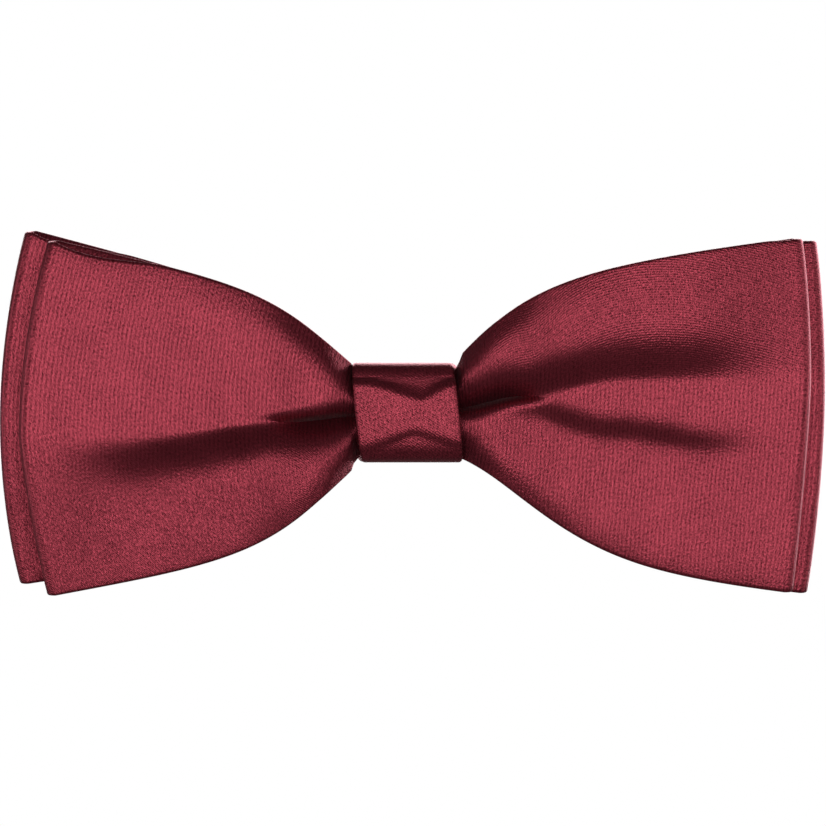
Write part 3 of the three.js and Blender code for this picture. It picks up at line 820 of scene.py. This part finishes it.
def wrap(front_power, back_power=5.0):
    """A closed outline in y and z with evenly spaced stations, from above the gap behind, over the top.

    Each quarter is a superellipse: |y/a|^power + |z/b|^power = 1, rounder for a small power.
    """
    angle = np.linspace(0.0, 2 * np.pi, 4001)
    power = np.where(np.cos(angle) > 0, back_power, front_power)
    reach = np.where(np.cos(angle) > 0, KNOT_BACK - KNOT_MIDDLE, KNOT_MIDDLE - KNOT_FRONT)
    y = KNOT_MIDDLE + reach * np.sign(np.cos(angle)) * np.abs(np.cos(angle)) ** (2 / power)
    z = KNOT_HALF_HEIGHT * np.sign(np.sin(angle)) * np.abs(np.sin(angle)) ** (2 / power)
    run = np.concatenate([[0.0], np.cumsum(np.hypot(np.diff(y), np.diff(z)))])
    even = np.linspace(KNOT_GAP, run[-1] - KNOT_GAP, KNOT_STATIONS)
    return np.interp(even, run, y), np.interp(even, run, z)


ROUND_WRAP = wrap(5.2)
SQUARE_WRAP = wrap(6.2)


def vee(x, point, height, left, right):
    """The line of a V: its rounded point at a height, and a slope for each of its arms."""
    return height + np.where(x < point, left, right) * (np.sqrt((x - point) ** 2 + 0.6) - 0.77)


def knot_surface(v):
    """The band's middle surface, with v from -1 at its left edge to 1 at its right edge.

    The cloth steps back above the upper V, steeply at its line and level at the top of the shelf, and
    steps back more gently below the lower one.
    """
    squareness = np.abs(v - 0.2) ** 1.6
    squareness = squareness / (1 + 0.2 * squareness)
    (round_y, round_z), (square_y, square_z) = ROUND_WRAP, SQUARE_WRAP
    y = round_y[:, None] * (1 - squareness) + square_y[:, None] * squareness
    z = round_z[:, None] * (1 - squareness) + square_z[:, None] * squareness
    half = KNOT_HALF_WIDTH - 0.2 * (z / KNOT_HALF_HEIGHT) ** 2
    x = v * half - KNOT_LEAN * z * ease(-y, 0.0, 4.0) + 0.1
    upper = np.minimum(vee(x, 2.2, 1.7, 0.37, 0.72), 4.1)
    lower = vee(x, 1.2, -2.6, -0.40, -0.33)
    shelf = np.clip((z - upper) / (4.9 - upper), 0.0, 1.0)
    pressed = 1.2 * shelf * (2 - shelf) + 0.25 * (1 + np.tanh((lower - 0.2 - z) / 0.5))
    y = y + pressed * ease(-y, 4.0, 9.0)
    return np.stack([x, y, z], axis=-1)


knot_outline = flat_oval(knot_surface, KNOT_STATIONS, KNOT_SLEEVE_HALF, 0.0, KNOT_ACROSS)
knot_shares = np.full(knot_outline.shape[:2], KNOT_TWILL)
knot = grid_mesh("knot", knot_outline, SATIN, shares=knot_shares, turned=True)
ply(knot, SATIN_PLY)
knot_inner = flat_oval(knot_surface, KNOT_STATIONS, CANVAS_HALF, CANVAS_INSET, KNOT_ACROSS)
knot_canvas = grid_mesh("knot_canvas", knot_inner, CANVAS, caps=True)
mark(knot, "bow", "knot_satin")
mark(knot_canvas, "bow", "knot_interlining")

# %% [markdown]
# ## Thread and wire
#
# A thread or a wire is a round tube along a path. The path is drawn as a few corners, resampled at even
# steps and smoothed, so each corner bends as wire bends. The knot's ends are closed by overcasting: one
# thread crosses the gap from side to side, diving into the satin at each turn.


# %% Tubes, and the stitches behind the knot
def bent(corners, spacing=0.08, softness=5):
    """A path through corners in millimetres, at even steps, smoothed over a few steps at each corner."""
    corners = np.asarray(corners, dtype=float)
    run = np.concatenate([[0.0], np.cumsum(np.linalg.norm(np.diff(corners, axis=0), axis=1))])
    even = np.linspace(0.0, run[-1], int(run[-1] / spacing))
    path = np.stack([np.interp(even, run, corners[:, axis]) for axis in range(3)], axis=1)
    padded = np.concatenate([path[:1]] * softness + [path] + [path[-1:]] * softness)
    window = np.ones(2 * softness + 1) / (2 * softness + 1)
    return np.stack([np.convolve(padded[:, axis], window, "valid") for axis in range(3)], axis=1)


def tube(name, path, radius, material, aside=(0.0, 0.0, 1.0), sides=10):
    """A round tube along a path that never runs along the direction called aside."""
    tangent = np.gradient(path, axis=0)
    first = np.cross(tangent, np.asarray(aside))
    first /= np.linalg.norm(first, axis=1, keepdims=True)
    second = np.cross(tangent / np.linalg.norm(tangent, axis=1, keepdims=True), first)
    turn = np.linspace(0.0, 2 * np.pi, sides, endpoint=False)[None, :, None]
    ring = first[:, None] * np.cos(turn) + second[:, None] * np.sin(turn)
    return grid_mesh(name, path[:, None] + radius * ring, material, caps=True)


STITCHES = 9
STITCH_REACH = 1.5
STITCH_DEPTH = 1.55  # where the thread dives into the satin
STITCH_TOP = 1.98  # where it lies across the gap
STITCH_RADIUS = 0.11

crossing = np.linspace(-6.2, 6.2, 2 * STITCHES + 1)
following = np.append(crossing[1:], crossing[-1] + 0.5)
reach = np.where(np.arange(len(crossing)) % 2, STITCH_REACH, -STITCH_REACH)
level = np.ones(len(crossing))
stitch_corners = np.stack(
    [
        np.stack([crossing, level * STITCH_DEPTH, reach], axis=1),
        np.stack([crossing * 0.85 + following * 0.15, level * STITCH_TOP, reach * 0.7], axis=1),
        np.stack([crossing * 0.15 + following * 0.85, level * STITCH_TOP, reach * -0.7], axis=1),
    ],
    axis=1,
).reshape(-1, 3)[:-2]
stitch_path = bent(stitch_corners, 0.06, 3)
knot_stitches = tube("knot_stitches", stitch_path, STITCH_RADIUS, THREAD, (0.0, 1.0, 0.0), 8)
mark(knot_stitches, "bow", "knot_end_stitches")
print("the knot's ends are closed by", STITCHES * 2, "crossings")

# %% [markdown]
# ## The springs
#
# Each jaw is closed by a torsion spring round its pin. The coil and one leg stay with the bar, and the
# other leg goes with the finger tab, so each spring is two pieces that meet along the last sixth of a
# turn. In the real spring that turn is where the wire twists.

# %% Springs
PIN = np.array([16.0, 3.0, 0.0])
COIL_RADIUS = 1.25
COIL_TURNS = 3.5
COIL_PITCH = 0.7
WIRE_RADIUS = 0.25
LEG_CLEARANCE = 0.01  # the moving leg is this much thicker, so the two wires never share a surface
LEG_ARC = 1 / 6  # of a turn, that the moving leg shares with the coil


def coil(first_turn, last_turn):
    """Points of the coil between two counts of turns, about the pin, its length centred on the pin's."""
    turns = np.linspace(first_turn, last_turn, max(int((last_turn - first_turn) * 40), 4))
    angle = -np.pi / 2 + 2 * np.pi * turns
    height = (turns - COIL_TURNS / 2) * COIL_PITCH
    return np.stack([COIL_RADIUS * np.cos(angle), COIL_RADIUS * np.sin(angle), height], axis=1)


end_height = COIL_TURNS * COIL_PITCH / 2
bar_leg = [(-6.0, -2.35, -end_height), (-3.0, -1.85, -end_height)]
tab_leg = [(-3.2, 1.35, end_height), (-5.9, 3.2, end_height)]
for side, sign in (("left", -1.0), ("right", 1.0)):
    mirror = np.array([sign, 1.0, 1.0])
    still = (bent(np.vstack([bar_leg, coil(0.0, COIL_TURNS)])) + PIN) * mirror
    moving = (bent(np.vstack([coil(COIL_TURNS - LEG_ARC, COIL_TURNS), tab_leg])) + PIN) * mirror
    mark(tube(side + "_spring_coil", still, WIRE_RADIUS, WIRE), "bow", side + "_spring")
    leg = tube(side + "_spring_leg", moving, WIRE_RADIUS + LEG_CLEARANCE, WIRE)
    mark(leg, side + "_jaw_body", side + "_spring")
print("each coil has", COIL_TURNS, "turns of", 2 * WIRE_RADIUS, "mm wire")

# %% [markdown]
# ## The metal of the clip
#
# The stamped parts keep the frame's own geometry and take the nickel finish. The threads hidden in the
# waist and the two tack stitches through the bar keep theirs too.

# %% Finishes for the frame's own pieces
NICKEL_NODES = ("clip_bar", "left_jaw", "right_jaw", "left_pin", "right_pin")
THREAD_NODES = (
    "waist_thread",
    "front_bow_end_stitches",
    "rear_bow_end_stitches",
    "left_tack_stitch",
    "right_tack_stitch",
)
for node_names, material in ((NICKEL_NODES, NICKEL), (THREAD_NODES, THREAD)):
    for node_name in node_names:
        bpy.data.objects[node_name].material_slots[0].material = material
print(len(NICKEL_NODES), "nodes are nickel and", len(THREAD_NODES), "are thread")

# %% [markdown]
